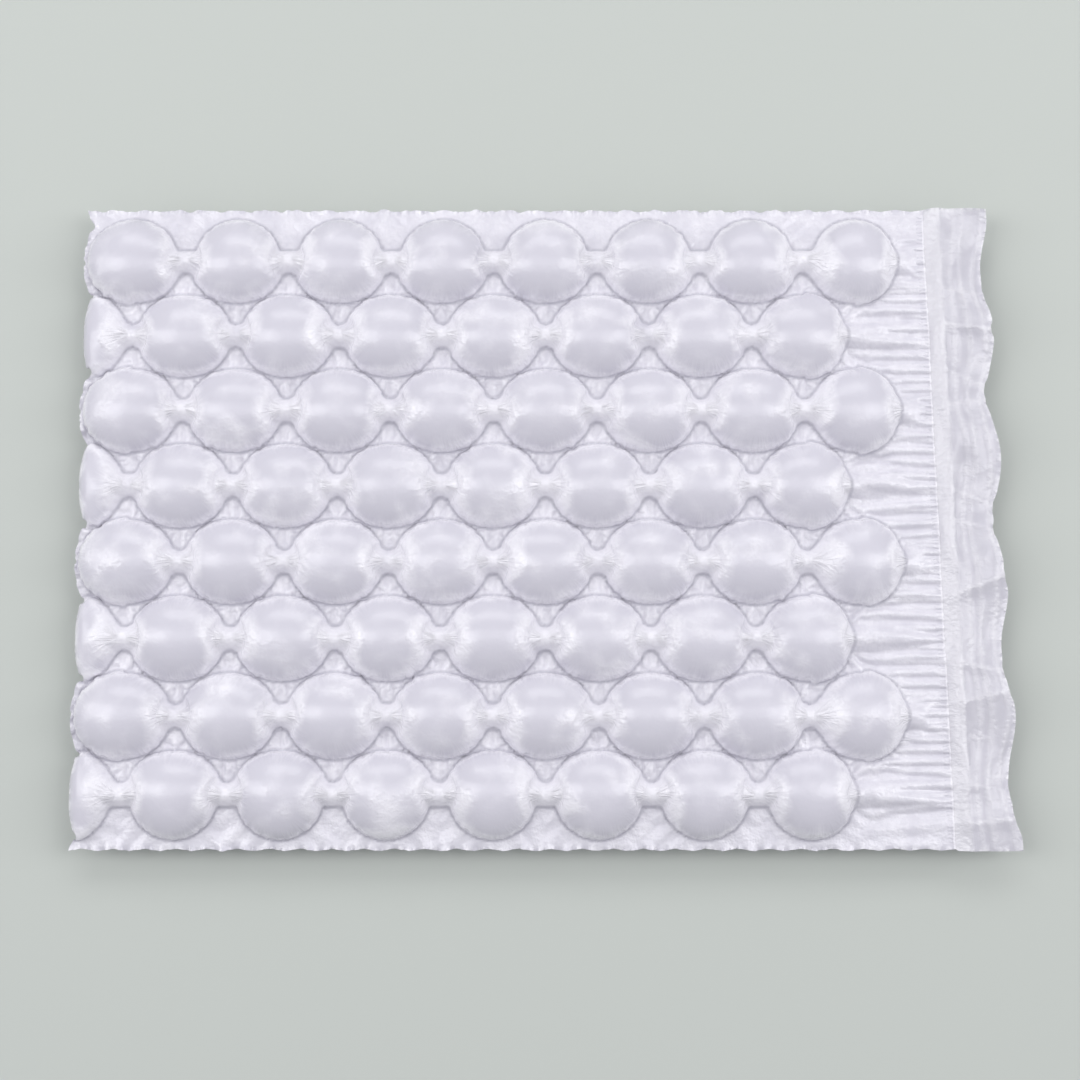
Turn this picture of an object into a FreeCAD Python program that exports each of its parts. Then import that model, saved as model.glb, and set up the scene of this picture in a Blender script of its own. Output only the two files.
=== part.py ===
"""Inflated air cushion film: one torn-off length of two heat-welded plies.

Millimetres. X runs along the rows of bubbles, from the folded edge to the
filling flap. Y runs along the film, and Z points up. The length lies flat on
the undersides of its bubbles, with the origin at the centre of its footprint.
"""
import FreeCAD
import Part

import math
import os

V = FreeCAD.Vector

# Bubbles
ROWS = 8                    # rows of bubbles, each one sealed air chamber
BUBBLES_PER_ROW = 8         # a row shifted by half a pitch has a half bubble at its fold
BUBBLE_PITCH = 37.5         # between bubble centres along a row
ROW_PITCH = 27.5            # between the centrelines of neighbouring rows
BUBBLE_HEIGHT = 20.0        # top to bottom of an inflated bubble
NECK_WIDTH = 9.5            # air passage between two bubbles of a row
HALF_BUBBLE_FILL = 0.95     # a half bubble is a little slimmer than a whole one
WELD_WIDTH = 1.0            # flat weld where bubbles of two rows meet
BUBBLE_SPANS = 5            # facets along a bubble, from neck to neck
SECTION_SIDES = 10          # facets round a bubble

# Film
WEB_THICKNESS = 0.12        # two plies welded together
PLY_THICKNESS = 0.06        # one loose ply of the flap
END_HEM = 3.5               # flat film past the outermost bubbles, to the torn edge
TEAR_TOOTH = 0.8            # depth of the teeth left by the perforation
TEAR_PITCH = 11.0           # between two teeth of the torn edge
FOLD_MARGIN = 2.6           # folded edge to the first whole bubble
FOLD_ROUNDING = 5.0         # how far a half bubble takes to round off into the fold
FOLD_STEPS = (10, 45)       # degrees round that quarter turn at which its facets meet
FOLD_PINCH = 0.25           # height of an unshifted row at the fold, as a share of its neck's

# Filling side
CHANNEL_LENGTH = 11.0       # last whole bubble of an unshifted row to the side weld
SIDE_WELD_WIDTH = 3.0
SIDE_WELD_THICKNESS = 0.5
SIDE_WELD_LEAN = 3.0        # how far the side weld leans out towards -Y, each way from the middle
CHANNEL_END_HEIGHT = 0.9    # a channel is pinched almost flat at the side weld
GATHERS_PER_ROW = 5
GATHER_WIDTH = 2.2
GATHER_HEIGHT = 1.6
FLAP_WIDTH = 20.0           # side weld to the slit edge of the filling tube
FLAP_ROOT = 0.25            # how deep a ply starts inside the side weld, as a share of its width
FLAP_CREST = 2.6            # how far each ply of the slit tube bows out
FLAP_CREST_AT = 0.35        # where the crest lies, as a share of the flap's width
FLAP_MOUTH = 1.2            # gap between the two plies at the slit edge
FLAP_RUFFLE = 1.8           # the slit edge waves by this much each way
RUFFLE_LENGTH = 46.0        # one wave of the slit edge
RUFFLE_SPANS = 4            # facets along one wave

FLAT_ENOUGH = 1e-6          # cubic millimetres between four corners that count as one plane

# Worked out from the sizes above
centre_distance = math.hypot(BUBBLE_PITCH / 2, ROW_PITCH)
bubble_radius = (centre_distance - WELD_WIDTH) / 2
neck_scale = NECK_WIDTH / 2 / bubble_radius
neck_angle = math.acos(neck_scale)
span_angle = 2 * neck_angle / BUBBLE_SPANS
middle_scale = math.cos(span_angle / 2) if BUBBLE_SPANS % 2 else 1.0
side_angle = 2 * math.pi / SECTION_SIDES
top_corner = max(math.sin(k * side_angle) for k in range(SECTION_SIDES))
crown = BUBBLE_HEIGHT / 2 / (middle_scale * top_corner)

first_centre = FOLD_MARGIN + bubble_radius
last_centre = first_centre + (BUBBLES_PER_ROW - 1) * BUBBLE_PITCH
side_weld_x = last_centre + bubble_radius + CHANNEL_LENGTH
length = (ROWS - 1) * ROW_PITCH + 2 * bubble_radius + 2 * END_HEM
weld_edge_x = side_weld_x + SIDE_WELD_WIDTH / 2
total_width = weld_edge_x + SIDE_WELD_LEAN + FLAP_WIDTH + FLAP_RUFFLE


def row_y(row):
    """Centreline of a row, counted from the -Y end."""
    return (row - (ROWS - 1) / 2) * ROW_PITCH


def weld_x(y):
    """Middle of the side weld, which leans out towards -Y."""
    return side_weld_x - SIDE_WELD_LEAN * 2 * y / length


def section(x, y, scale, flat=1.0):
    """A bubble's cross-section at x: the same polygon everywhere on a row, scaled."""
    return [
        V(
            x,
            y + bubble_radius * scale * math.cos(k * side_angle),
            crown * scale * flat * math.sin(k * side_angle),
        )
        for k in range(SECTION_SIDES)
    ]


def flat_faces(corners):
    """One flat face through four corners, or two triangles that meet on the shorter diagonal."""
    a, b, c, d = corners
    if abs((b - a).cross(c - a).dot(d - a)) < FLAT_ENOUGH:
        return [Part.Face(Part.makePolygon([a, b, c, d, a]))]
    if (c - a).Length > (d - b).Length:
        a, b, c, d = b, c, d, a
    return [Part.Face(Part.makePolygon(t)) for t in ([a, b, c, a], [a, c, d, a])]


def closed(faces):
    """Solid inside a skin of faces."""
    shell = Part.makeShell(faces)
    shell.sewShape()
    solid = Part.makeSolid(Part.Shell(shell.Faces))
    if solid.Volume < 0:
        solid.reverse()
    return solid


def skinned(sections):
    """Solid through a chain of like polygons."""
    faces = [Part.Face(Part.makePolygon(s + s[:1])) for s in (sections[0], sections[-1])]
    for near, far in zip(sections, sections[1:]):
        for k in range(len(near)):
            nxt = (k + 1) % len(near)
            faces += flat_faces([near[k], near[nxt], far[nxt], far[k]])
    return closed(faces)


def bubble_stations(centre, from_span=0):
    """Where a bubble's cross-sections stand, and their scale, from neck to neck."""
    angles = [-neck_angle + k * span_angle for k in range(from_span, BUBBLE_SPANS + 1)]
    return [(centre + bubble_radius * math.sin(a), math.cos(a)) for a in angles]


def folded_end(widest):
    """Stations that round a half bubble off into the fold."""
    x, scale = widest
    turns = [math.radians(step) for step in FOLD_STEPS]
    rounding = [(FOLD_ROUNDING * (1 - math.cos(a)), scale * math.sin(a)) for a in turns]
    return rounding + [(max(x, FOLD_ROUNDING), scale * HALF_BUBBLE_FILL)]


def air_chamber(row):
    """One row's chain of bubbles with its filling channel, sealed at both ends."""
    y = row_y(row)
    if row % 2:
        centres = [first_centre + k * BUBBLE_PITCH for k in range(BUBBLES_PER_ROW)]
        start = [(FOLD_MARGIN, neck_scale * FOLD_PINCH)]
    else:
        first = first_centre - BUBBLE_PITCH / 2
        centres = [first + k * BUBBLE_PITCH for k in range(1, BUBBLES_PER_ROW)]
        half = bubble_stations(first, BUBBLE_SPANS // 2 + 1)
        start = folded_end(half[0]) + half[1:]
    stations = start + [s for c in centres for s in bubble_stations(c)]
    sections = [section(x, y, scale) for x, scale in stations]
    flat = CHANNEL_END_HEIGHT / (2 * crown * neck_scale * top_corner)
    sections.append(section(weld_x(y), y, neck_scale, flat))
    return skinned(sections)


def torn_edge(y, outwards):
    """Corners of a toothed edge along X, from the fold to the side weld."""
    span = weld_x(y)
    teeth = round(span / TEAR_PITCH)
    pitch = span / teeth
    corners = []
    for k in range(teeth):
        corners.append(V(k * pitch, y, 0))
        corners.append(V((k + 0.5) * pitch, y - outwards * TEAR_TOOTH, 0))
    return corners + [V(span, y, 0)]


def web():
    """The flat film that the bubbles stand out of, with its two torn ends."""
    corners = torn_edge(-length / 2, -1) + list(reversed(torn_edge(length / 2, 1)))
    outline = Part.Face(Part.makePolygon(corners + corners[:1]))
    sheet = outline.extrude(V(0, 0, WEB_THICKNESS))
    sheet.translate(V(0, 0, -WEB_THICKNESS / 2))
    return sheet


def side_weld():
    """The band that the filling machine welds across all channels."""
    half = SIDE_WELD_WIDTH / 2
    ends = [(weld_x(-length / 2), -length / 2), (weld_x(length / 2), length / 2)]
    corners = [V(x - half, y, 0) for x, y in ends] + [V(x + half, y, 0) for x, y in reversed(ends)]
    band = Part.Face(Part.makePolygon(corners + corners[:1])).extrude(V(0, 0, SIDE_WELD_THICKNESS))
    band.translate(V(0, 0, -SIDE_WELD_THICKNESS / 2))
    return band


def gather(start, end):
    """One crease of gathered film: a slender spindle from a bubble to the side weld."""
    middle = (start + end) * 0.5
    ring = [
        middle + V(0, GATHER_WIDTH / 2, 0),
        middle + V(0, 0, GATHER_HEIGHT / 2),
        middle - V(0, GATHER_WIDTH / 2, 0),
        middle - V(0, 0, GATHER_HEIGHT / 2),
    ]
    faces = []
    for tip in (start, end):
        for a, b in zip(ring, ring[1:] + ring[:1]):
            faces.append(Part.Face(Part.makePolygon([a, b, tip, a])))
    return closed(faces)


def gathers():
    """Creases that fan out beside each channel, between the last bubbles and the side weld."""
    creases = []
    for row in range(ROWS):
        y = row_y(row)
        last = last_centre if row % 2 else last_centre - BUBBLE_PITCH / 2
        for k in range(GATHERS_PER_ROW):
            side = k - (GATHERS_PER_ROW - 1) / 2
            if side == 0:
                continue
            angle = side * span_angle / 2
            start = V(last + bubble_radius * math.cos(angle), y + bubble_radius * math.sin(angle), 0)
            y_end = y + side * ROW_PITCH / GATHERS_PER_ROW
            creases.append(gather(start, V(weld_x(y_end), y_end, 0)))
    return creases


def flap_ply(side):
    """One ply of the slit filling tube: it bows out past the weld and ends in a ruffled edge."""
    spans = round(length / RUFFLE_LENGTH * RUFFLE_SPANS)
    stations = []
    for k in range(spans + 1):
        along = k * length / spans
        y = along - length / 2
        phase = 2 * math.pi * along / RUFFLE_LENGTH
        edge = weld_x(y) + SIDE_WELD_WIDTH / 2
        wave = FLAP_RUFFLE * math.sin(phase)
        across = [
            V(edge - SIDE_WELD_WIDTH * FLAP_ROOT, y, 0),
            V(edge + FLAP_WIDTH * FLAP_CREST_AT, y, side * FLAP_CREST + wave * FLAP_CREST_AT),
            V(edge + FLAP_WIDTH + FLAP_RUFFLE * math.cos(phase), y, side * FLAP_MOUTH / 2 + wave),
        ]
        lift = V(0, 0, PLY_THICKNESS)
        stations.append(across + [p + lift for p in reversed(across)])
    return skinned(stations)


def cushion_film():
    """The whole inflated length as one welded piece, standing on its bubbles."""
    pieces = [air_chamber(row) for row in range(ROWS)]
    pieces += [side_weld(), flap_ply(1), flap_ply(-1)] + gathers()
    film = web().fuse(pieces).removeSplitter()
    film.translate(V(-total_width / 2, 0, BUBBLE_HEIGHT / 2))
    return film


os.makedirs("parts", exist_ok=True)
film = cushion_film()
film.exportStep("parts/air_cushion_film.step")
box = film.BoundBox
print("solids", len(film.Solids), "faces", len(film.Faces), "valid", film.isValid())
print("low corner", round(box.XMin, 3), round(box.YMin, 3), round(box.ZMin, 3))
print("high corner", round(box.XMax, 3), round(box.YMax, 3), round(box.ZMax, 3))
print("volume in cubic millimetres", round(film.Volume, 1))
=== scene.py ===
"""Dresses the air cushion film: two plies of thin film, welded, filled with air and creased."""

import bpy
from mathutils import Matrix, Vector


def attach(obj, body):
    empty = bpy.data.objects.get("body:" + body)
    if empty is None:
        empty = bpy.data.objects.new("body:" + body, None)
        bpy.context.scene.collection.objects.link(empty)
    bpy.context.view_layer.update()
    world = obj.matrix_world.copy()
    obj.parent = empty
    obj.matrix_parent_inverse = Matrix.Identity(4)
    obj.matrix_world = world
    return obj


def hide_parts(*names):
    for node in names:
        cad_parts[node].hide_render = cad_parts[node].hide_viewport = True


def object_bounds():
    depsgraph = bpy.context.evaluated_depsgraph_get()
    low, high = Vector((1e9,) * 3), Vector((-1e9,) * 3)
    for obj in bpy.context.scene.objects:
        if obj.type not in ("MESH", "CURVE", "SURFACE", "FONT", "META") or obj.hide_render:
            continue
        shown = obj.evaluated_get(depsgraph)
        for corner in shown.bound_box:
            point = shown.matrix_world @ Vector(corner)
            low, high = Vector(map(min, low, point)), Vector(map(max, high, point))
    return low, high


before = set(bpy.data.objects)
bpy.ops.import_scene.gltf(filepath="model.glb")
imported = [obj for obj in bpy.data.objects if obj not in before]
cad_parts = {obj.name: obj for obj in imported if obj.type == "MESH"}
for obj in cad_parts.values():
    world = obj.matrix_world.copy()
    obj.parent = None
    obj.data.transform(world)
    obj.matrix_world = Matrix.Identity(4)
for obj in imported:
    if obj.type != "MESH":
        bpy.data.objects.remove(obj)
cad_box = [list(corner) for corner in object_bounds()]

import math

import bpy
import numpy as np
from mathutils import Vector

bl_info = {
    "name": "Air cushion film",
    "version": (1, 0, 0),
    "blender": (4, 5, 0),
    "location": "3D View > Sidebar > Cushion film",
    "description": "Inflates a welded length of cushioning film and lays it on a studio floor",
    "category": "Add Mesh",
}

NODE = "air_cushion_film"
MM = 0.001


# Sizes and finishes that a user would change

class FilmSizes(bpy.types.PropertyGroup):
    """The welded pattern, as it lies once the film is full of air."""
    bubble_pitch: bpy.props.FloatProperty(
        name="Bubble pitch", description="Between bubble centres along a row",
        default=37.5 * MM, unit="LENGTH")
    row_pitch: bpy.props.FloatProperty(
        name="Row pitch", description="Between the centrelines of neighbouring rows",
        default=27.5 * MM, unit="LENGTH")
    bubble_height: bpy.props.FloatProperty(
        name="Bubble height", description="Top to bottom of a full bubble",
        default=cad_box[1][2] - cad_box[0][2], unit="LENGTH")
    neck_width: bpy.props.FloatProperty(
        name="Neck width", description="Air passage between two bubbles of a row",
        default=10.0 * MM, unit="LENGTH")
    weld_width: bpy.props.FloatProperty(
        name="Weld width", description="Flat weld where bubbles of two rows meet",
        default=1.0 * MM, unit="LENGTH")
    bubble_reach: bpy.props.FloatProperty(
        name="Bubble reach", description="Middle of a bubble to its weld, across the row",
        default=15.6 * MM, unit="LENGTH")
    bubble_side: bpy.props.FloatProperty(
        name="Bubble side", description="Radius of the weld along a bubble's long side",
        default=21.0 * MM, unit="LENGTH")
    web_angle: bpy.props.FloatProperty(
        name="Web angle", description="Half the angle between two bubbles at the neck they share",
        default=math.radians(34.0), subtype="ANGLE")
    neck_fillet: bpy.props.FloatProperty(
        name="Neck fillet", description="Rounding of the weld where a neck joins its bubble",
        default=2.0 * MM, unit="LENGTH")
    fold_margin: bpy.props.FloatProperty(
        name="Fold margin", description="Folded edge to the first whole bubble",
        default=2.6 * MM, unit="LENGTH")
    fold_scallop: bpy.props.FloatProperty(
        name="Fold scallop", description="How far the fold draws back between two rows",
        default=3.6 * MM, unit="LENGTH")
    channel_length: bpy.props.FloatProperty(
        name="Channel length", description="Last whole bubble to the side weld",
        default=11.0 * MM, unit="LENGTH")
    side_weld_width: bpy.props.FloatProperty(
        name="Side weld width", description="Band that closes all the channels",
        default=3.0 * MM, unit="LENGTH")
    side_weld_lean: bpy.props.FloatProperty(
        name="Side weld lean", description="How far the side weld leans out at each end",
        default=3.0 * MM, unit="LENGTH")
    flap_width: bpy.props.FloatProperty(
        name="Flap width", description="Side weld to the slit edge",
        default=22.0 * MM, unit="LENGTH")
    flap_crest: bpy.props.FloatProperty(
        name="Flap crest", description="How far each ply of the slit tube bows out past the weld",
        default=2.6 * MM, unit="LENGTH")
    flap_mouth: bpy.props.FloatProperty(
        name="Flap mouth", description="Gap between the two plies at the slit edge",
        default=1.2 * MM, unit="LENGTH")
    flap_ruffle: bpy.props.FloatProperty(
        name="Flap ruffle", description="How far the slit edge waves each way",
        default=1.8 * MM, unit="LENGTH")
    ruffle_length: bpy.props.FloatProperty(
        name="Ruffle length", description="One wave of the slit edge",
        default=46.0 * MM, unit="LENGTH")
    tear_tooth: bpy.props.FloatProperty(
        name="Tear tooth", description="Depth of the teeth that the perforation leaves",
        default=0.8 * MM, unit="LENGTH")
    tear_pitch: bpy.props.FloatProperty(
        name="Tear pitch", description="Between two teeth of the torn edge",
        default=11.0 * MM, unit="LENGTH")
    end_hem: bpy.props.FloatProperty(
        name="End hem", description="Flat film past the outermost bubbles",
        default=3.5 * MM, unit="LENGTH")
    draw_in_across: bpy.props.FloatProperty(
        name="Draw in across", description="Full width as a share of the flat film's",
        default=0.85, min=0.7, max=1.0, subtype="FACTOR")
    draw_in_along: bpy.props.FloatProperty(
        name="Draw in along", description="Full length as a share of the flat film's",
        default=0.84, min=0.7, max=1.0, subtype="FACTOR")
    neck_ease: bpy.props.FloatProperty(
        name="Neck ease", description="Film that each bubble takes up from the necks beside it",
        default=0.9 * MM, unit="LENGTH")
    film_cell: bpy.props.FloatProperty(
        name="Film cell", description="Size of a mesh cell of the finished film",
        default=0.85 * MM, unit="LENGTH")


class FilmFinish(bpy.types.PropertyGroup):
    """Colour and gloss of the film."""
    # The film's own milky lavender, darkened as painted shade over the dome tops, which reflect the
    # dark room above
    film_and_shade_colour: bpy.props.FloatVectorProperty(
        name="Film colour", description="Milky lavender of the taut polyethylene over a bubble",
        default=(0.61, 0.595, 0.665), size=3, min=0.0, max=1.0, subtype="COLOR")
    # White of crumpled film, and the painted highlight on the dome rims, beside the necks, on the
    # flap and along crease crests
    crease_and_highlight_colour: bpy.props.FloatVectorProperty(
        name="Crease colour", description="White of film that is crumpled or seen edge on",
        default=(0.80, 0.785, 0.84), size=3, min=0.0, max=1.0, subtype="COLOR")
    # Dark of the side weld's rungs, and the painted shade along the edge of every weld, where the
    # film dives into the crease between bubbles
    rung_and_weld_shade_colour: bpy.props.FloatVectorProperty(
        name="Weld colour", description="Darker line along the edge of a weld",
        default=(0.40, 0.39, 0.46), size=3, min=0.0, max=1.0, subtype="COLOR")
    film_gloss: bpy.props.FloatProperty(
        name="Film roughness", description="Roughness of the film's gloss",
        default=0.24, min=0.0, max=1.0, subtype="FACTOR")
    bubble_cover: bpy.props.FloatProperty(
        name="Bubble cover",
        description="How much one ply over the bubbles hides of what is behind it",
        default=1.0, min=0.0, max=1.0, subtype="FACTOR")
    flap_cover: bpy.props.FloatProperty(
        name="Flap cover",
        description="How much one ply of the flap hides of what is behind it",
        default=0.8, min=0.0, max=1.0, subtype="FACTOR")


class StudioStage(bpy.types.PropertyGroup):
    """Floor, lamps and camera."""
    floor_colour: bpy.props.FloatVectorProperty(
        name="Floor colour", description="Pale grey green of the sweep",
        default=(0.52, 0.547, 0.52), size=3, min=0.0, max=1.0, subtype="COLOR")
    camera_elevation: bpy.props.FloatProperty(
        name="Camera elevation", description="Angle of the camera above the floor",
        default=math.radians(83.5), subtype="ANGLE")
    camera_distance: bpy.props.FloatProperty(
        name="Camera distance", description="Camera to the middle of the film",
        default=0.615, unit="LENGTH")
    field_of_view: bpy.props.FloatProperty(
        name="Field of view", description="Width of the camera's view",
        default=math.radians(35.0), subtype="ANGLE")


# The welded pattern

def ramp(value, start, length):
    """Rises from nothing at start to one over length."""
    return np.clip((value - start) / length, 0, 1)


def blended_low(a, b, width):
    """The lower of two fields, with the corner between them rounded over width."""
    share = np.clip(0.5 + 0.5 * (b - a) / width, 0, 1)
    return b * (1 - share) + a * share - width * share * (1 - share)


class Pattern:
    """Where bubbles, necks, welds and flap lie, in millimetres with x = 0 at the fold."""

    rows = 8
    bubbles = 8             # in a row, where a shifted row's first one is a half bubble
    lengths = ("bubble_pitch", "row_pitch", "bubble_height", "neck_width", "weld_width",
               "bubble_reach", "bubble_side", "neck_fillet", "fold_margin", "fold_scallop",
               "channel_length", "side_weld_width", "side_weld_lean", "flap_width", "flap_crest",
               "flap_mouth", "flap_ruffle", "ruffle_length", "tear_tooth", "tear_pitch",
               "end_hem", "neck_ease")
    far = 1e9               # farther than anything in the pattern
    end_setback = 0.8       # a bubble's sloping end stops this far short of the neck's middle
    corner_blend = 3.0      # rounding between a bubble's long side and its sloping end
    fold_slack = 1.3        # how much farther than its radius a bubble reaches towards the fold
    channel_blend = 1.0     # rounding where a channel meets the side weld
    scallop_shape = 2.5     # higher keeps the fold straight for longer beside a row
    hem_start, hem_fade = 13.0, 4.0     # where the plain film of an end begins, and how fast
    ray_round, ray_apart, ray_drift = 8.0, 7.3, 0.12    # noise round, between and along streaks

    def __init__(self, sizes):
        for name in self.lengths:
            setattr(self, name, getattr(sizes, name) / MM)
        self.web_angle = sizes.web_angle
        apart = math.hypot(self.bubble_pitch / 2, self.row_pitch)
        self.radius = (apart - self.weld_width) / 2
        self.first = self.fold_margin + self.radius
        self.last = self.first + (self.bubbles - 1) * self.bubble_pitch
        self.side_weld = self.last + self.radius + self.channel_length
        self.seam = self.side_weld + self.side_weld_width / 2
        self.length = (self.rows - 1) * self.row_pitch + 2 * self.radius + 2 * self.end_hem

    def row_y(self, row):
        return (row - (self.rows - 1) / 2) * self.row_pitch

    def row_start(self, row):
        """First bubble centre: a shifted row starts with a half bubble at the fold."""
        return self.first if row % 2 else self.first - self.bubble_pitch / 2

    def weld_x(self, y):
        return self.side_weld - self.side_weld_lean * 2 * y / self.length

    def near_end(self, y):
        """One on the plain film beside a torn end."""
        return ramp(np.abs(y) - self.length / 2, -self.hem_start, self.hem_fade)

    def fold_inset(self, y):
        """How far the fold draws back from its line between two rows."""
        off_row = np.abs(((y - self.row_y(0)) / self.row_pitch + 0.5) % 1 - 0.5) * 2
        return self.fold_scallop * np.clip(off_row, 0, 1) ** self.scallop_shape

    def step_from(self, x, y, row, offset=0.0):
        """Step to a point from a row's nearest bubble, or neck at offset 0.5, and its place."""
        start = self.row_start(row) + offset * self.bubble_pitch
        nth = np.clip(np.round((x - start) / self.bubble_pitch), 0, self.bubbles - 1)
        return x - (start + nth * self.bubble_pitch), y - self.row_y(row), nth

    def depth(self, x, y, channels=True):
        """How far inside an air chamber a point lies; below zero it is on welded film."""
        steep, shallow = math.cos(self.web_angle), math.sin(self.web_angle)
        deepest = np.full(x.shape, -self.far)
        for row in range(self.rows):
            dx, dy, _ = self.step_from(x, y, row)
            from_arc = np.abs(dy) + self.bubble_side - self.bubble_reach
            side = self.bubble_side - np.hypot(dx, from_arc)
            end = ((self.bubble_pitch / 2 - self.end_setback - np.abs(dx)) * steep
                   + (self.neck_width / 2 - np.abs(dy)) * shallow)
            cell = blended_low(side, end, self.corner_blend)
            at_fold = (x < self.row_start(row)) & bool(row % 2)
            past_last = x > self.row_start(row) + (self.bubbles - 1) * self.bubble_pitch
            free = at_fold | past_last
            free |= (dy < 0) if row == 0 else (dy > 0) & (row == self.rows - 1)
            squeeze = np.where(at_fold, self.radius / (self.radius + self.fold_slack), 1.0)
            cell = np.where(free, self.radius - np.hypot(dx * squeeze, dy), cell)
            shut = at_fold if channels else at_fold | past_last
            neck = np.where(shut, -self.far, self.neck_width / 2 - np.abs(dy))
            deepest = np.maximum(deepest, -blended_low(-cell, -neck, self.neck_fillet))
        to_side_weld = self.weld_x(y) - self.side_weld_width / 2 - x
        return blended_low(deepest, to_side_weld, self.channel_blend)

    def from_nearest(self, x, y, offset):
        """Step to a point from the nearest bubble centre or neck of any row, and its number."""
        best = np.full(x.shape, self.far)
        step = np.zeros((3,) + x.shape)
        for row in range(self.rows):
            dx, dy, nth = self.step_from(x, y, row, offset)
            away = np.hypot(dx, dy)
            step = np.where(away < best, np.stack([dx, dy, nth + row * self.bubbles]), step)
            best = np.minimum(best, away)
        return step

    def near_neck(self, x, y, reach, spread):
        """One on a neck, fading to nothing at reach along its row and at spread across it."""
        dx, dy, _ = self.from_nearest(x, y, 0.5)
        return np.clip(2 - 2 * np.hypot(dx / reach, dy / spread), 0, 1)

    def rays(self, x, y, offset):
        """Noise coordinates whose streaks run out from the nearest bubble or neck."""
        dx, dy, number = self.from_nearest(x, y, offset)
        away = np.hypot(dx, dy) + 1e-3
        rays = np.stack([self.ray_round * dx / away, self.ray_round * dy / away,
                         self.ray_apart * number + self.ray_drift * away])
        return rays, dx / away, away

    def crumple(self, x, y, inside):
        """How well the film stands up to being pushed together: creases form where it is high."""
        dome, rim, web = 0.05, 0.75, 0.35
        firm = np.where(inside > 0, dome + rim * (1 - ramp(inside, 2.0, 4.0)), web)
        for goal, share in (
                (0.8, self.near_neck(x, y, 11.0, 9.0)),                 # round each neck
                (0.02, self.near_neck(x, y, 4.5, 7.0)),                 # in the neck itself
                (0.1, np.clip(1.5 - x / 3.0, 0, 1) * (inside <= 0)),    # along the fold
                (0.9, ramp(x, self.last, 8.0)),                         # between the channels
                (0.01, ramp(x - self.weld_x(y), 1.5, 3.0)),             # on the flap
                (0.06, self.near_end(y) * (inside <= 0))):              # on the end hems
            firm += (goal - firm) * share
        return firm.astype(np.float32)


# The film

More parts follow.
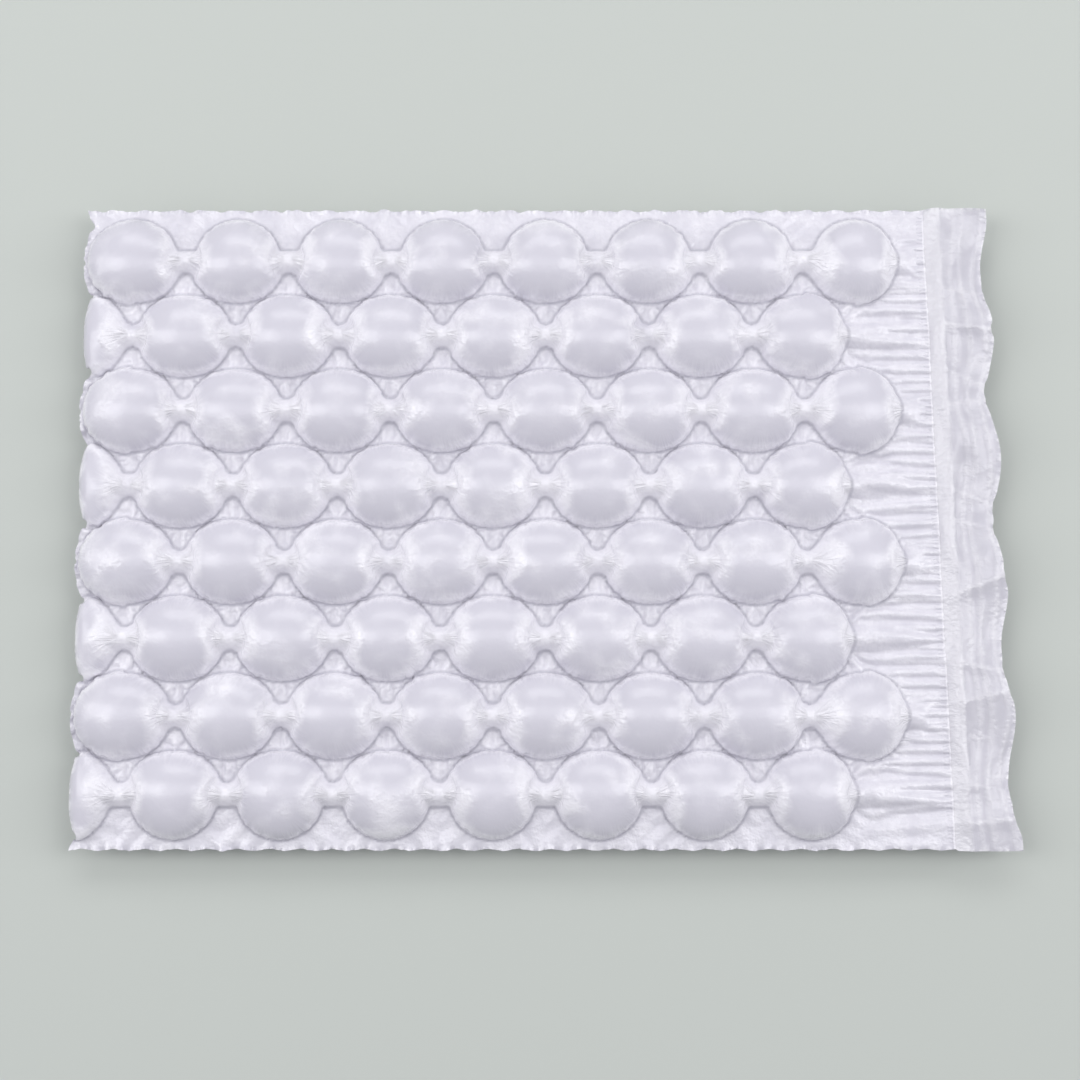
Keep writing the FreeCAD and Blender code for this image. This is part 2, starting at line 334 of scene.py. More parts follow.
class Film:
    """Two plies on one grid, which share their points where they are welded."""

    all = slice(None)
    fold_reach = 9.0                # the fold's scallops fade out this far into the sheet
    tether_pull = 0.2               # how firmly the free film beside a neck keeps its place
    tether_reach = (7.5, 8.5)       # along and across the row, from the neck
    channel_air = 0.04              # pressure in the channels, as a share of the bubbles'
    channel_slack = 0.05            # flat length that the film beside the channels lacks
    start_height = 0.45             # height of a first dome, as a share of a full bubble's
    fold_span = 0.97                # folds open to this share of their flat length
    ripple_lines = ((0.44, 0.53), (0.60, 0.37), (0.87, 0.81))   # place across the flap, and sway
    first_fold, fold_gaps = 9.0, (11.0, 30.0)   # the sharp folds that cross the flap
    fold_lean, fold_breadth, fold_height = (-0.4, 0.4), (0.8, 1.8), (0.6, 1.4)
    rim_width, wing_reach = 4.2, (14.0, 16.0)   # painted highlight round a dome and beside a neck
    band_start, band_width = 1.5, 8.0           # painted highlight band of the flap, from the side weld
    edge_width = 1.2                            # painted highlight line along the flap's slit edge
    snap_turns, even_turns = 4, 12
    steep_enough = 0.7              # slope of the depth that still counts as a weld's edge

    def __init__(self, pattern, sizes, cell, coarse=None, unrest=0.15, seed=7):
        self.pattern, self.cell = pattern, cell
        self.lay_out(seed)
        self.flat_pattern(sizes)
        self.pos = self.first_guess() if coarse is None else self.refined(coarse)
        rng = np.random.default_rng(seed)
        self.pos[:, 2] += rng.normal(0, unrest * 0.4, self.pos[:, 2].shape).astype(np.float32)
        self.pos[:, :2] += rng.normal(0, unrest * 0.15, self.pos[:, :2].shape).astype(np.float32)
        self.before = self.pos.copy()
        self.share_welds()
        self.threads()
        self.air = np.where(self.held | self.flap, 0, 1).astype(np.float32)
        self.air *= np.where(self.open_depth < 0, np.float32(self.channel_air), 1)

    def lay_out(self, seed):
        """Bends a plain grid to the outline, snaps it to the welds and marks what is held."""
        p = self.pattern
        ys = np.linspace(-p.length / 2, p.length / 2, round(p.length / self.cell) + 1)
        self.body = round(p.seam / self.cell)
        self.flap_cells = round(p.flap_width / self.cell)
        column, y = np.meshgrid(np.arange(self.body + self.flap_cells + 1), ys, indexing="ij")
        self.column, self.flap = column, column > self.body
        seam = p.weld_x(y) + p.side_weld_width / 2
        straight = column / self.body * p.seam
        past = np.clip((straight - p.last) / (p.seam - p.last), 0, 1)
        x = straight + past * (seam - p.seam)
        x = x + p.fold_inset(y) * np.clip(1 - x / self.fold_reach, 0, 1) ** 2
        out = np.clip((column - self.body) / self.flap_cells, 0, 1)
        phase = 2 * np.pi * (y + p.length / 2) / p.ruffle_length
        wave, pinch, self.crossed = self.cross_folds(y, out, seed)
        width = p.flap_width + p.flap_ruffle * np.cos(phase) - pinch
        x = np.where(self.flap, seam + out * width, x)
        tooth = np.abs(((x / p.tear_pitch) % 1) * 2 - 1) - 1
        at_edge = np.clip((np.abs(y) - p.length / 2) / p.end_hem + 1, 0, 1)
        y = y + np.sign(y) * p.tear_tooth * tooth * at_edge * ~self.flap
        on_weld = self.snap(x, y)
        self.x, self.y = x, y
        self.inside, self.open_depth = p.depth(x, y), p.depth(x, y, channels=False)
        self.hem = p.near_end(y)
        self.welded = ((on_weld | (self.inside < 0)) & ~self.flap) | (column == 0)
        self.held = self.welded & ~((column == 0) & (self.inside > 0))
        tether = self.tether_pull * p.near_neck(x, y, *self.tether_reach)
        self.tether = np.where(self.held, 0, tether).astype(np.float32)
        self.plan = np.stack([x, y, 0 * x]).astype(np.float32)
        self.hang_flap(out, phase, wave)

    def hang_flap(self, out, phase, wave):
        """Bows the two plies of the flap apart, and waves and ripples both."""
        p = self.pattern
        crest_at, crest_width, swell_at, swell_width, ripple_width = 0.22, 0.13, 0.68, 0.16, 0.045
        sway = 0.05 * np.sin(0.7 * phase) + 0.03 * np.sin(1.9 * phase + 1.0)
        bow = (p.flap_crest * np.exp(-((out - crest_at - sway) / crest_width) ** 2)
               + 0.5 * p.flap_crest * np.exp(-((out - swell_at + 1.5 * sway) / swell_width) ** 2)
               + p.flap_mouth / 2 * (1 - np.exp(-out * 8)))
        self.ripples = sum(
            np.exp(-((out - at - 0.04 * np.sin(slow * phase + at * 9)) / ripple_width) ** 2)
            for at, slow in self.ripple_lines)
        bow = bow + 0.5 * self.ripples
        wave = wave + p.flap_ruffle * np.sin(phase) * out
        upwards = [[[0]], [[0]], [[1]]]
        self.flap_shape = np.stack([self.plan + upwards * (wave + bow),
                                    self.plan + upwards * (wave - bow)]).astype(np.float32)

    def cross_folds(self, y, out, seed):
        """The sharp folds across the flap: height, how far they draw the edge in, and lines."""
        p, folds = self.pattern, np.random.default_rng(seed)
        height, pinch, line = (np.zeros(y.shape) for _ in range(3))
        at = -p.length / 2 + self.first_fold
        while at < p.length / 2:
            lean, broad, high = (folds.uniform(*limits) for limits in
                                 (self.fold_lean, self.fold_breadth, self.fold_height))
            off = y - at - lean * out * p.flap_width
            height += high * np.exp(-(off / broad) ** 2) * np.minimum(out * 5, 1)
            pinch += high * np.exp(-(off / (2.5 * broad)) ** 2)
            line = np.maximum(line, (high / self.fold_height[1]) * np.exp(-(off / 0.7) ** 2))
            at += folds.uniform(*self.fold_gaps)
        return height, pinch, line

    def snap(self, x, y):
        """Moves the grid points next to a weld's edge onto it, and evens out the rest."""
        p, tiny = self.pattern, 1e-3
        loose = ((self.column > 0) & (self.column < self.body)
                 & (np.abs(y) < p.length / 2 - 0.01))
        for turn in range(self.snap_turns):
            d = p.depth(x, y)
            gx = (p.depth(x + tiny, y) - p.depth(x - tiny, y)) / (2 * tiny)
            gy = (p.depth(x, y + tiny) - p.depth(x, y - tiny)) / (2 * tiny)
            g = np.sqrt(gx * gx + gy * gy) + 1e-6
            clear = g > self.steep_enough
            if turn == 0:
                reach = 0.5 * self.cell * np.maximum(np.abs(gx), np.abs(gy)) / g
                on_weld = (np.abs(d) < reach) & clear & loose
            move = on_weld & clear
            x[move] -= (d * gx / (g * g))[move]
            y[move] -= (d * gy / (g * g))[move]
        near = (np.abs(p.depth(x, y)) < 2.5 * self.cell) & ~on_weld & loose
        for _ in range(self.even_turns):
            for a in (x, y):
                mean = a.copy()
                mean[1:-1, 1:-1] = 0.25 * (a[2:, 1:-1] + a[:-2, 1:-1]
                                           + a[1:-1, 2:] + a[1:-1, :-2])
                a[near] += 0.6 * (mean - a)[near]
        return on_weld

    def flat_pattern(self, sizes):
        """Each point's place on the flat film, before air draws the sheet in."""
        p = self.pattern
        edge = p.last - p.bubble_pitch / 2
        relaxed = np.clip(self.x - edge, 0, p.bubble_pitch)
        drawn = np.minimum(self.x, edge) + relaxed - 0.5 * relaxed ** 2 / p.bubble_pitch
        u = self.x + (1 / sizes.draw_in_across - 1) * drawn
        swing = (np.sin(2 * np.pi * (self.x - p.row_start(0)) / p.bubble_pitch)
                 * np.cos(np.pi * (self.y - p.row_y(0)) / p.row_pitch))
        u += p.neck_ease * swing * np.clip((edge - self.x) / 6.0, 0, 1)
        bare = 0.6 * p.radius
        u -= self.channel_slack * np.clip(self.x - p.last - bare, 0, p.seam - p.last - bare)
        self.u, self.v = u.astype(np.float32), (self.y / sizes.draw_in_along).astype(np.float32)

    def first_guess(self):
        """Round domes over the chambers."""
        p = self.pattern
        hollow = np.clip(self.inside, 0, p.radius)
        z = (self.start_height * p.bubble_height
             * np.sqrt(1 - ((p.radius - hollow) / p.radius) ** 2))
        z[self.welded] = 0
        pos = np.stack([self.plan, self.plan])
        pos[0, 2], pos[1, 2] = z, -z
        return np.where(self.flap, self.flap_shape, pos)

    def refined(self, coarse):
        """Takes the shape over from a film with larger cells."""
        def stretched(a, count, axis):
            at = np.linspace(0, a.shape[axis] - 1, count)
            low = np.minimum(at.astype(int), a.shape[axis] - 2)
            shape = [count if k == axis else 1 for k in range(4)]
            share = (at - low).astype(np.float32).reshape(shape)
            return np.take(a, low, axis) * (1 - share) + np.take(a, low + 1, axis) * share
        moved = coarse.pos - coarse.plan
        body = stretched(moved[:, :, :coarse.body + 1], self.body + 1, 2)
        flap = stretched(moved[:, :, coarse.body:], self.flap_cells + 1, 2)[:, :, 1:]
        return self.plan + stretched(np.concatenate([body, flap], axis=2), self.x.shape[1], 3)

    def flat_length(self, a, b):
        return np.hypot(self.u[a] - self.u[b], self.v[a] - self.v[b])

    def threads(self):
        """Lengths on the flat film that neighbouring points keep, in groups that share no point."""
        nx, ny = self.u.shape
        self.links = []
        for di, dj, weight in ((1, 0, 1.0), (0, 1, 1.0), (1, 1, 0.6), (1, -1, 0.6)):
            for start in range(2):
                count = len(range(start + 1, nx if di else ny, 2))
                ahead = slice(start + 1, nx if di else ny, 2)
                behind = slice(start, start + 2 * count - 1, 2)
                if di:
                    beside = {0: self.all, 1: slice(1, ny), -1: slice(0, ny - 1)}
                    a, b = (ahead, beside[dj]), (behind, beside[-dj])
                else:
                    a, b = (self.all, ahead), (self.all, behind)
                self.links.append(((self.all, self.all) + a, (self.all, self.all) + b,
                                   self.flat_length(a, b), np.float32(0.5 * weight)))
        self.folds = []
        for a, b in (((slice(2, None), self.all), (slice(None, -2), self.all)),
                     ((self.all, slice(2, None)), (self.all, slice(None, -2)))):
            self.folds.append(((self.all, self.all) + a, (self.all, self.all) + b,
                               self.flat_length(a, b)))

    def share_welds(self):
        middle = 0.5 * (self.pos[0] + self.pos[1])
        for ply in self.pos:
            np.copyto(ply, middle, where=self.welded)

    def blow(self, pressure):
        """Pushes each ply outwards along its own slope."""
        a, b = np.zeros_like(self.pos), np.zeros_like(self.pos)
        a[:, :, 1:-1] = self.pos[:, :, 2:] - self.pos[:, :, :-2]
        a[:, :, 0] = self.pos[:, :, 1] - self.pos[::-1, :, 1]
        b[:, :, :, 1:-1] = self.pos[:, :, :, 2:] - self.pos[:, :, :, :-2]
        out = np.stack([a[:, 1] * b[:, 2] - a[:, 2] * b[:, 1],
                        a[:, 2] * b[:, 0] - a[:, 0] * b[:, 2],
                        a[:, 0] * b[:, 1] - a[:, 1] * b[:, 0]], 1)
        out *= np.float32(0.25 * pressure / self.cell ** 2) * self.air
        out[1] *= -1
        self.pos += out

    def apart(self, a, b, length):
        """Steps between pairs of points, and their flat length as a share of the step."""
        d = self.pos[a] - self.pos[b]
        return d, length / (np.sqrt(np.einsum("kcij,kcij->kij", d, d)) + np.float32(1e-6))

    def hold_lengths(self, firm):
        """Film doesn't stretch, and gives way to a push by as much as it isn't firm."""
        for a, b, length, weight in self.links:
            d, share = self.apart(a, b, length)
            off = 1 - share
            d *= (np.where(off > 0, weight, firm[a[2:]]) * off)[:, None]
            self.pos[a] -= d
            self.pos[b] += d

    def ease_folds(self, stiffness):
        """Opens a thread that is folded back on itself."""
        for a, b, length in self.folds:
            d, share = self.apart(a, b, length * np.float32(self.fold_span))
            d *= (np.minimum(1 - share, 0) * np.float32(0.25 * stiffness))[:, None]
            self.pos[a] -= d
            self.pos[b] += d

    def settle(self, turns, pressure, firm, keep_speed=0.93, stiffness=0.3, hold=0.02):
        """Lets pressure, the film's length and its stiffness come to rest against each other."""
        floor = np.float32(-self.pattern.bubble_height / 2)
        firm = np.float32(0.5) * firm
        for _ in range(turns):
            step = (self.pos - self.before) * np.float32(keep_speed)
            self.before = self.pos.copy()
            self.pos += step
            self.blow(pressure)
            self.hold_lengths(firm)
            self.share_welds()
            self.ease_folds(stiffness)
            for ply in self.pos:
                for axis in range(2):
                    np.add(ply[axis], np.float32(hold) * (self.plan[axis] - ply[axis]),
                           out=ply[axis], where=self.held)
                np.add(ply[2], np.float32(-hold / 10) * ply[2], out=ply[2], where=self.held)
                ply[0] += self.tether * (self.plan[0] - ply[0])
            np.add(self.pos, np.float32(hold * 3) * (self.flap_shape - self.pos), out=self.pos,
                   where=self.flap)
            np.maximum(self.pos[:, 2], floor, out=self.pos[:, 2])
            self.share_welds()

    def iron(self, turns):
        """Evens out taut film, necks and hems, and the flap along its folds."""
        p = self.pattern
        rim, web, hem, across_flap, along_flap = 0.15, 0.04, 0.7, 0.1, 0.8
        gathers = np.clip((self.x - p.last - p.radius / 2) / 4.0, 0, 1) * (self.open_depth < 0)
        share = np.where(self.inside > -1.0, rim, web) * (1 - gathers)
        share = np.maximum(ramp(self.inside, 4.0, 3.0), share)
        share = np.maximum(share, p.near_neck(self.x, self.y, 5.0, 7.0))
        share = np.maximum(share, hem * self.hem * (self.inside <= 0))
        across, along = (np.where(self.flap, flap, share)[1:-1, 1:-1].astype(np.float32) / 2
                         for flap in (across_flap, along_flap))
        inner = self.pos[:, :, 1:-1, 1:-1]
        for _ in range(turns):
            inner += across * (0.5 * (self.pos[:, :, 2:, 1:-1] + self.pos[:, :, :-2, 1:-1]) - inner)
            inner += along * (0.5 * (self.pos[:, :, 1:-1, 2:] + self.pos[:, :, 1:-1, :-2]) - inner)
            self.share_welds()

    def creases(self, side):
        """Positive on the ridges and negative in the valleys of the outer side of one ply."""
        full_height, smooth_share = 0.3, 0.2    # millimetres, and the share that doesn't count
        z = self.pos[side, 2] * (1 - 2 * side)
        around = z.copy()
        around[1:-1, 1:-1] = 0.25 * (z[2:, 1:-1] + z[:-2, 1:-1] + z[1:-1, 2:] + z[1:-1, :-2])
        crease = (z - around) / full_height
        return np.clip(np.sign(crease) * np.maximum(np.abs(crease) - smooth_share, 0), -1, 1)

    def whitening_and_painted_light(self, depth, side):
        """How white the film is painted: whiter where it is crumpled, with painted highlights on
        the dome rims, beside the necks, on the flap and on crease ridges, and painted shade in
        crease valleys.
        """
        p = self.pattern
        small, large = self.clouds(12, 0.9), self.clouds(60, 2.5)
        # Painted highlight along each dome's rim and on the film beside each neck
        rim = np.clip(1.1 - (depth - 1.0) / self.rim_width, 0, 1)
        neck_highlight = np.clip(1.15 * p.near_neck(self.x, self.y, *self.wing_reach), 0, 1)
        highlight_and_patches = np.clip(np.maximum(rim, neck_highlight) + large + 0.5 * small, 0, 1)
        web = 0.5 - 0.1 * np.maximum(self.hem, ramp(self.x, p.last, 10.0))
        white_and_painted_light = np.where(depth > 0, highlight_and_patches * highlight_and_patches * (3 - 2 * highlight_and_patches), web)
        # Painted highlights on the flap: a band beside the side weld, a line along the slit edge,
        # and lines on the cross folds and ripples
        from_edge = np.abs(self.column - self.body - self.flap_cells) * self.cell
        edge = np.clip(1 - from_edge / self.edge_width, 0, 1)
        past_weld = self.x - p.weld_x(self.y)
        band_highlight = np.clip((self.band_width - past_weld) / 1.5, 0.15, 1.1)
        flap = band_highlight + 0.6 * self.crossed + 0.5 * edge + 0.5 * self.ripples
        white_and_painted_light = np.where(past_weld > self.band_start, flap, white_and_painted_light)
        # Painted highlight on crease ridges and painted shade in their valleys
        crease = self.creases(side) * (1 - ramp(depth, 2.0, 3.0))
        return white_and_painted_light + crease * 0.4 + small * 0.7

    def clouds(self, turns, strength, seed=5):
        """Smooth random patches, larger with more turns."""
        cloud = np.random.default_rng(seed + turns).normal(0, strength, self.x.shape)
        for _ in range(turns):
            cloud[1:-1, 1:-1] = 0.5 * cloud[1:-1, 1:-1] + 0.125 * (
                cloud[2:, 1:-1] + cloud[:-2, 1:-1] + cloud[1:-1, 2:] + cloud[1:-1, :-2])
        return cloud


SETTLED = {}


def settled_film():
    """The film full of air, worked out once for all the pieces cut from it."""
    if "film" not in SETTLED:
        sizes = bpy.context.scene.cushion_sizes
        pattern = Pattern(sizes)
        cell = sizes.film_cell / MM
        film = Film(pattern, sizes, cell * 2)
        firm = pattern.crumple(film.x, film.y, film.inside)
        beside_channels = (film.x > pattern.last - pattern.radius / 2) & film.welded
        firm = np.where(beside_channels, firm, 0.02)
        film.settle(turns=60, pressure=0.015, firm=firm, keep_speed=0.85)
        film.settle(turns=200, pressure=0.010, firm=firm)
        film = Film(pattern, sizes, cell, coarse=film, unrest=0.03)
        firm = pattern.crumple(film.x, film.y, film.inside)
        film.settle(turns=40, pressure=0.006, firm=firm, keep_speed=0.8, stiffness=0.1)
        film.settle(turns=240, pressure=0.006, firm=firm, stiffness=0.1)
        film.iron(turns=8)
        SETTLED["film"] = film
    return SETTLED["film"]


def in_frame(points):
    """From the pattern's millimetres to the frame's metres."""
    lo, hi = Vector(cad_box[0]), Vector(cad_box[1])
    return points * MM + np.array([lo.x, (lo.y + hi.y) / 2, (lo.z + hi.z) / 2])


# Pieces

def listed(field):
    """A field on the grid as a list in the order of the mesh's points."""
    return np.swapaxes(field, -1, -2).reshape(field.shape[:-2] + (-1,))


def point_fields(film, side):
    """What the material reads at each point of the film, beside its place on the flat film."""
    p, on_flap = film.pattern, -3.0
    depth = np.where(film.flap, on_flap, np.clip(film.open_depth, -5, 17))
    from_bubble, _, _ = p.rays(film.x, film.y, 0.0)
    from_neck, across, away = p.rays(film.x, film.y, 0.5)
    # Streaks run along the row, from 1 to 12 mm off a neck; pleats stay clear of the necks. In the
    # material both are bumps and painted highlights
    streaky = ramp(away, 1.0, 2.0) * np.clip((12.0 - away) / 7.0, 0, 1) * (depth > 0)
    streaky *= np.clip(2.2 * np.abs(across) - 1.1, 0, 1)
    # Pleats round a dome's rim, away from the necks: bumps, and painted highlights in the colour
    rim = np.clip((8.0 - depth) / 7.0, 0, 1) * ramp(away, 8.0, 5.0) * (depth > 0)
    return {"depth": depth, "white_and_painted_light": film.whitening_and_painted_light(depth, side),
            "filling": film.x - p.weld_x(film.y), "from_bubble": from_bubble,
            "from_neck": from_neck, "streaky": streaky, "rim": rim}


def ply_piece(name, side, first_column, last_column):
    """A stretch of one ply as a mesh, from a plain grid moved onto the settled film."""
    film = settled_film()
    columns = slice(first_column, last_column + 1)
    nx, ny = last_column - first_column + 1, film.x.shape[1]
    bpy.ops.object.select_all(action="DESELECT")
    bpy.ops.mesh.primitive_grid_add(x_subdivisions=nx - 1, y_subdivisions=ny - 1, size=1.0)
    piece = bpy.context.object
    piece.name = piece.data.name = name
    mesh = piece.data
    if len(mesh.vertices) != nx * ny:
        raise RuntimeError(f"{name}: the grid has {len(mesh.vertices)} points, not {nx * ny}")
    points = in_frame(listed(film.pos[side][:, columns]).T)
    mesh.vertices.foreach_set("co", points.astype(np.float32).ravel())
    piece.location = (0.0, 0.0, 0.0)
    for label, field in point_fields(film, side).items():
        vector = field.ndim == 3
        attribute = mesh.attributes.new(label, "FLOAT_VECTOR" if vector else "FLOAT", "POINT")
        attribute.data.foreach_set("vector" if vector else "value",
                                   listed(field[..., columns, :]).T.astype(np.float32).ravel())
    corners = np.empty(len(mesh.loops), int)
    mesh.loops.foreach_get("vertex_index", corners)
    flat = np.stack([listed(film.u[columns]), listed(film.v[columns])], -1) * MM
    mesh.uv_layers[0].data.foreach_set("uv", flat[corners].astype(np.float32).ravel())
    mesh.uv_layers[0].name = "flat_film"
    split_weld_corners(piece, listed(film.welded[columns]), lower=side == 1)
    if side == 1:
        bpy.ops.object.mode_set(mode="EDIT")
        bpy.ops.mesh.select_all(action="SELECT")
        bpy.ops.mesh.flip_normals()
        bpy.ops.object.mode_set(mode="OBJECT")
    bpy.ops.object.shade_smooth()
    return piece


def split_weld_corners(piece, welded, lower):
    """Cuts cells with one loose corner along the weld; the lower ply keeps only loose film."""
    mesh = piece.data
    bpy.ops.object.mode_set(mode="EDIT")
    bpy.ops.mesh.select_mode(type="FACE")
    for way in ("FIXED_ALTERNATE", "FIXED"):
        bpy.ops.mesh.select_all(action="DESELECT")
        bpy.ops.object.mode_set(mode="OBJECT")
        chosen = [len(face) == 4 and welded[face].sum() == 3
                  and (way == "FIXED" or welded[face].argmin() % 2 == 0)
                  for face in faces_of(mesh)]
        mesh.polygons.foreach_set("select", np.array(chosen))
        bpy.ops.object.mode_set(mode="EDIT")
        bpy.ops.mesh.quads_convert_to_tris(quad_method=way, ngon_method="BEAUTY")
    bpy.ops.object.mode_set(mode="OBJECT")
    if lower:
        shut = np.array([welded[face].all() for face in faces_of(mesh)])
        mesh.polygons.foreach_set("select", shut)
        bpy.ops.object.mode_set(mode="EDIT")
        bpy.ops.mesh.delete(type="FACE")
        bpy.ops.object.mode_set(mode="OBJECT")


def faces_of(mesh):
    """The point numbers of each face."""
    starts = np.empty(len(mesh.polygons), int)
    mesh.polygons.foreach_get("loop_start", starts)
    corners = np.empty(len(mesh.loops), int)
    mesh.loops.foreach_get("vertex_index", corners)
    return np.split(corners, starts[1:])


class Nodes:
    """Short ways to add the nodes of a material."""

    def __init__(self, material):
        self.material = material
        material.use_nodes = True
        self.tree = material.node_tree
        self.shader = self.tree.nodes["Principled BSDF"]

    def add(self, kind, inputs, output=0, **settings):
        node = self.tree.nodes.new(kind)
        for name, value in settings.items():
            setattr(node, name, value)
        for key, value in inputs.items():
            if isinstance(value, bpy.types.NodeSocket):
                self.tree.links.new(value, node.inputs[key])
            else:
                node.inputs[key].default_value = value
        return node.outputs[output]

    def set(self, name, value):
        """Links a socket to the shader, or sets a plain value on it."""
        if isinstance(value, bpy.types.NodeSocket):
            self.tree.links.new(value, self.shader.inputs[name])
        else:
            self.shader.inputs[name].default_value = value

    def attribute(self, name, output="Fac"):
        return self.add("ShaderNodeAttribute", {}, output, attribute_name=name)

    def math(self, operation, a, b=0.0):
        return self.add("ShaderNodeMath", {0: a, 1: b}, operation=operation)

    def plus(self, a, b):
        return self.math("ADD", a, b)

    def times(self, a, b):
        return self.math("MULTIPLY", a, b)

    def fade(self, value, start, end, low=0.0, high=1.0):
        """Goes smoothly from low to high while value goes from start to end."""
        return self.add("ShaderNodeMapRange", {"Value": value, "From Min": start, "From Max": end,
                                               "To Min": low, "To Max": high},
                        interpolation_type="SMOOTHSTEP")

    def line(self, value, inner, outer):
        """One where value is near nothing, gone at outer."""
        return self.fade(self.math("ABSOLUTE", value), inner, outer, 1.0, 0.0)

    def mix(self, share, a, b):
        return self.add("ShaderNodeMix", {"Factor": share, "A": a, "B": b}, 2, data_type="RGBA")

    def noise(self, vector, scale, detail=1.0):
        return self.add("ShaderNodeTexNoise", {"Vector": vector, "Scale": scale, "Detail": detail})

    def ridges(self, vector, scale):
        """Thin crests where a noise crosses its middle."""
        return self.line(self.math("SUBTRACT", self.noise(vector, scale), 0.5), 0.0, 0.12)


def film_material(name, cover):
    """Milky film: whiter where it is creased and where highlights are painted, darker with painted
    shade along the edge of a weld and on the side weld's rungs.
    """
    pleat, streak, weld_shade, rung = 0.3, 0.6, 0.5, 0.38    # how strongly each mark shows: painted highlights on pleats and streaks, painted shade along welds, rungs
    grain, coarse_grain, rung_turns = 520.0, 260.0, 3900.0  # for each metre of flat film
    relief_height = 0.8 * MM
    finish = bpy.context.scene.cushion_finish
    n = Nodes(bpy.data.materials.new(name))
    flat = n.add("ShaderNodeUVMap", {}, uv_map="flat_film")
    depth, white_and_painted_light, filling = n.attribute("depth"), n.attribute("white_and_painted_light"), n.attribute("filling")

    pleats = n.times(n.ridges(n.attribute("from_bubble", "Vector"), 1.0), n.attribute("rim"))
    streaks = n.times(n.ridges(n.attribute("from_neck", "Vector"), 0.8), n.attribute("streaky"))
    # Pleat and streak crests: bumps in the relief, and painted highlights in the colour
    creased = n.plus(n.times(pleats, pleat), n.times(streaks, streak))
    crumple = n.noise(flat, grain, 2.0)
    mottle = n.times(n.math("SUBTRACT", crumple, 0.5), n.fade(white_and_painted_light, 0.0, 0.6, 0.15, 0.7))
    whitening_and_painted_light = n.add("ShaderNodeClamp", {"Value": n.plus(white_and_painted_light, n.plus(creased, mottle))})

    # The side weld is a ladder of short rungs, uneven in pitch and strength
    uneven = n.noise(flat, coarse_grain)
    along = n.add("ShaderNodeSeparateXYZ", {"Vector": flat}, "Y")
    beat = n.plus(n.times(along, rung_turns), n.times(uneven, 9.0))
    rungs = n.times(n.fade(n.math("SINE", beat), 0.1, 0.7), n.line(filling, 0.8, 1.3))
    rungs = n.times(rungs, n.fade(uneven, 0.35, 0.6))
    # Painted shade along the edge of every weld, where the film dives into the crease between
    # bubbles
    weld_edge_shade = n.line(depth, 0.1, 1.2)
    rungs_and_weld_shade = n.math("MAXIMUM", n.times(weld_edge_shade, weld_shade), n.times(rungs, rung))

    # Lit and shaded film: the painted highlights and painted shade of the whitening mix the two
    # colours
    film = n.mix(whitening_and_painted_light, (*finish.film_and_shade_colour, 1.0), (*finish.crease_and_highlight_colour, 1.0))
    n.set("Base Color", n.mix(rungs_and_weld_shade, film, (*finish.rung_and_weld_shade_colour, 1.0)))
    n.set("Alpha", cover)
    n.set("Roughness", finish.film_gloss)
    n.set("IOR", 1.5)
    relief = n.plus(n.times(creased, 0.38), n.times(crumple, n.fade(white_and_painted_light, 0.0, 0.6, 0.1, 0.5)))
    n.set("Normal", n.add("ShaderNodeBump", {"Height": relief, "Strength": 1.0,
                                             "Distance": relief_height}))
    return n.material


class CUSHION_OT_bubble_plies(bpy.types.Operator):
    """Makes the upper and the lower ply of the bubbles, full of air and welded to each other"""
    bl_idname = "cushion.bubble_plies"
    bl_label = "Bubble plies"

    def execute(self, context):
        film = settled_film()
        material = film_material("cushion_film", context.scene.cushion_finish.bubble_cover)
        for name, side in (("upper_film", 0), ("lower_film", 1)):
            piece = ply_piece(name, side, 0, film.body)
            piece.data.materials.append(material)
            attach(piece, "root")
            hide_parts(NODE)
        return {"FINISHED"}


class CUSHION_OT_filling_flap(bpy.types.Operator):
    """Makes the loose flap of the slit filling tube, past the side weld"""
    bl_idname = "cushion.filling_flap"
    bl_label = "Filling flap"

    def execute(self, context):
        film = settled_film()
        end = film.body + film.flap_cells
        plies = [ply_piece(name, side, film.body, end)
                 for name, side in (("filling_flap", 0), ("flap_lower", 1))]
        bpy.ops.object.select_all(action="DESELECT")
        for ply in plies:
            ply.select_set(True)
        context.view_layer.objects.active = plies[0]
        bpy.ops.object.join()
        flap = context.object
        material = film_material("flap_film", context.scene.cushion_finish.flap_cover)
        flap.data.materials.append(material)
        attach(flap, "root")
        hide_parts(NODE)
        return {"FINISHED"}


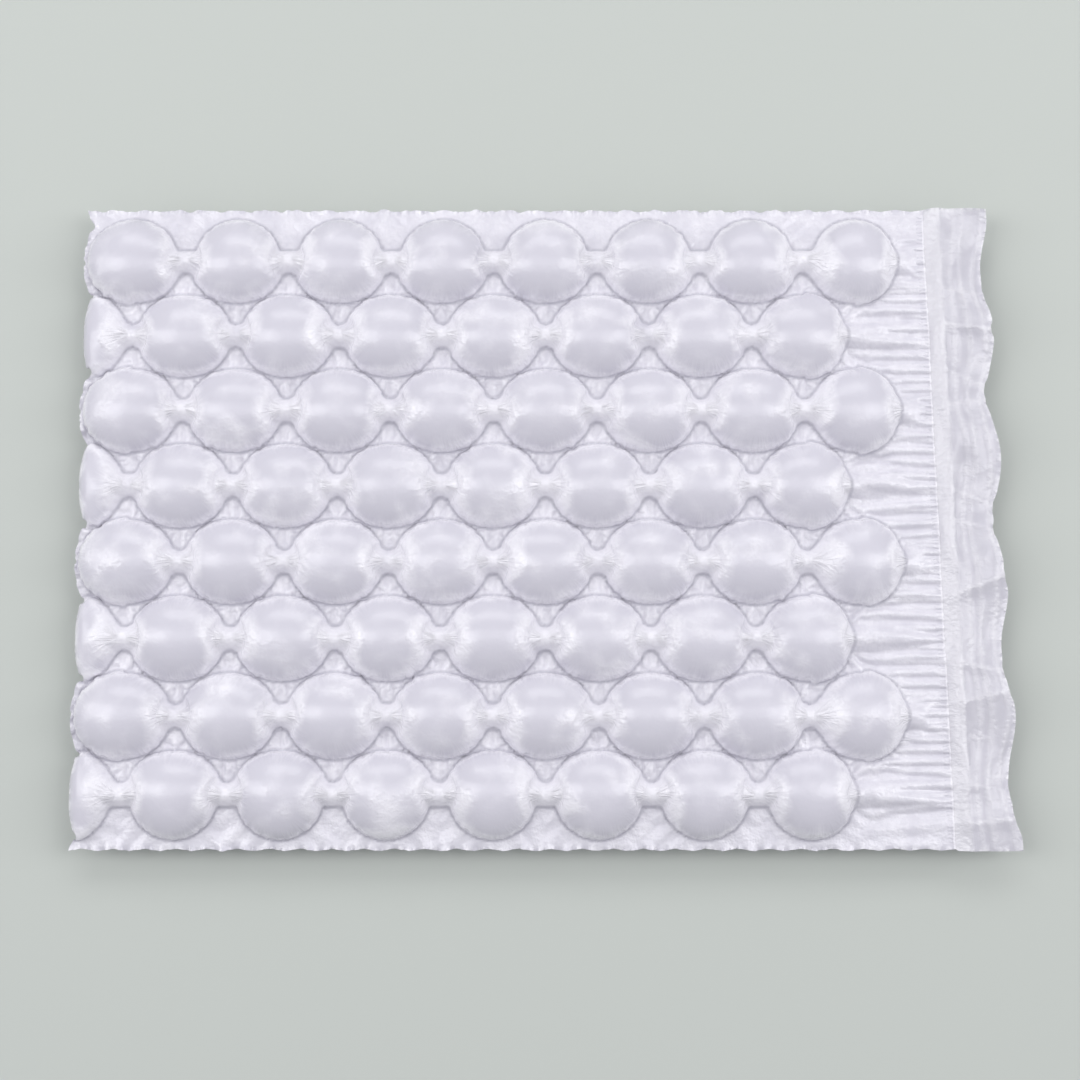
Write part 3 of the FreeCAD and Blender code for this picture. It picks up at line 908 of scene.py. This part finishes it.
class CUSHION_OT_studio(bpy.types.Operator):
    """Lays out the floor, the lamps and the camera"""
    bl_idname = "cushion.studio"
    bl_label = "Studio"

    # Name, place, size and watts of each lamp; the gloss strip shows only as a reflection
    lamps = (("left_softbox", (-1.0, 0.1, 0.9), (0.6, 1.3), 8.2),
             ("right_softbox", (1.0, 0.1, 0.9), (0.6, 1.3), 8.2),
             ("back_softbox", (0.0, 1.1, 0.9), (1.4, 0.5), 6.0),
             ("gloss_strip", (0.0, 0.08, 1.05), (2.6, 0.4), 5.5))
    air_colour, air_strength = (0.95, 0.96, 1.0, 1.0), 0.47
    floor_size, floor_drop = 6.0, 0.3 * MM
    aim_aside, aim_below = -0.6 * MM, -5.9 * MM     # from the middle of the film, in X and Y

    def execute(self, context):
        stage = context.scene.cushion_stage
        middle = (Vector(cad_box[0]) + Vector(cad_box[1])) / 2
        self.lay_floor(stage.floor_colour)
        for lamp in self.lamps:
            self.hang_lamp(middle, *lamp)
        world = bpy.data.worlds.new("studio_air")
        context.scene.world = world
        world.use_nodes = True
        air = world.node_tree.nodes["Background"]
        air.inputs["Color"].default_value = self.air_colour
        air.inputs["Strength"].default_value = self.air_strength
        aim = middle + Vector((self.aim_aside, self.aim_below, 0.0))
        angle = stage.camera_elevation
        away = Vector((0.0, -math.cos(angle), math.sin(angle)))
        bpy.ops.object.camera_add(location=aim + away * stage.camera_distance,
                                  rotation=(math.pi / 2 - angle, 0.0, 0.0))
        camera = context.object
        camera.name = "studio_camera"
        camera.data.angle = stage.field_of_view
        context.scene.camera = camera
        context.scene.view_settings.view_transform = "Standard"
        return {"FINISHED"}

    def lay_floor(self, colour):
        bpy.ops.object.select_all(action="DESELECT")
        bpy.ops.mesh.primitive_plane_add(size=self.floor_size,
                                         location=(0.0, 0.0, cad_box[0][2] - self.floor_drop))
        floor = bpy.context.object
        floor.name = "studio_floor"
        n = Nodes(bpy.data.materials.new("floor_paper"))
        n.set("Base Color", (*colour, 1.0))
        n.set("Roughness", 0.9)
        n.set("Specular IOR Level", 0.2)
        floor.data.materials.append(n.material)

    def hang_lamp(self, middle, name, place, size, watts):
        """A rectangular lamp that faces the film."""
        bpy.ops.object.light_add(type="AREA", location=place)
        lamp = bpy.context.object
        lamp.name = name
        lamp.data.shape = "RECTANGLE"
        lamp.data.size, lamp.data.size_y = size
        lamp.data.energy = watts
        lamp.visible_diffuse = name != "gloss_strip"
        lamp.rotation_euler = (Vector(place) - middle).to_track_quat("Z", "Y").to_euler()


class CUSHION_PT_film(bpy.types.Panel):
    """Sizes, finish and stage of the cushion film"""
    bl_label = "Cushion film"
    bl_idname = "CUSHION_PT_film"
    bl_space_type = "VIEW_3D"
    bl_region_type = "UI"
    bl_category = "Cushion film"

    def draw(self, context):
        scene = context.scene
        for group in (scene.cushion_sizes, scene.cushion_finish, scene.cushion_stage):
            for name in group.__annotations__:
                self.layout.prop(group, name)
        for operator in OPERATORS:
            self.layout.operator(operator.bl_idname)


GROUPS = (FilmSizes, FilmFinish, StudioStage)
OPERATORS = (CUSHION_OT_bubble_plies, CUSHION_OT_filling_flap, CUSHION_OT_studio)


def register():
    for cls in GROUPS + OPERATORS + (CUSHION_PT_film,):
        bpy.utils.register_class(cls)
    bpy.types.Scene.cushion_sizes = bpy.props.PointerProperty(type=FilmSizes)
    bpy.types.Scene.cushion_finish = bpy.props.PointerProperty(type=FilmFinish)
    bpy.types.Scene.cushion_stage = bpy.props.PointerProperty(type=StudioStage)


def unregister():
    del bpy.types.Scene.cushion_sizes
    del bpy.types.Scene.cushion_finish
    del bpy.types.Scene.cushion_stage
    for cls in reversed(GROUPS + OPERATORS + (CUSHION_PT_film,)):
        bpy.utils.unregister_class(cls)


def main():
    register()
    bpy.ops.cushion.bubble_plies()
    bpy.ops.cushion.filling_flap()
    bpy.ops.cushion.studio()


if __name__ == "__main__":
    main()
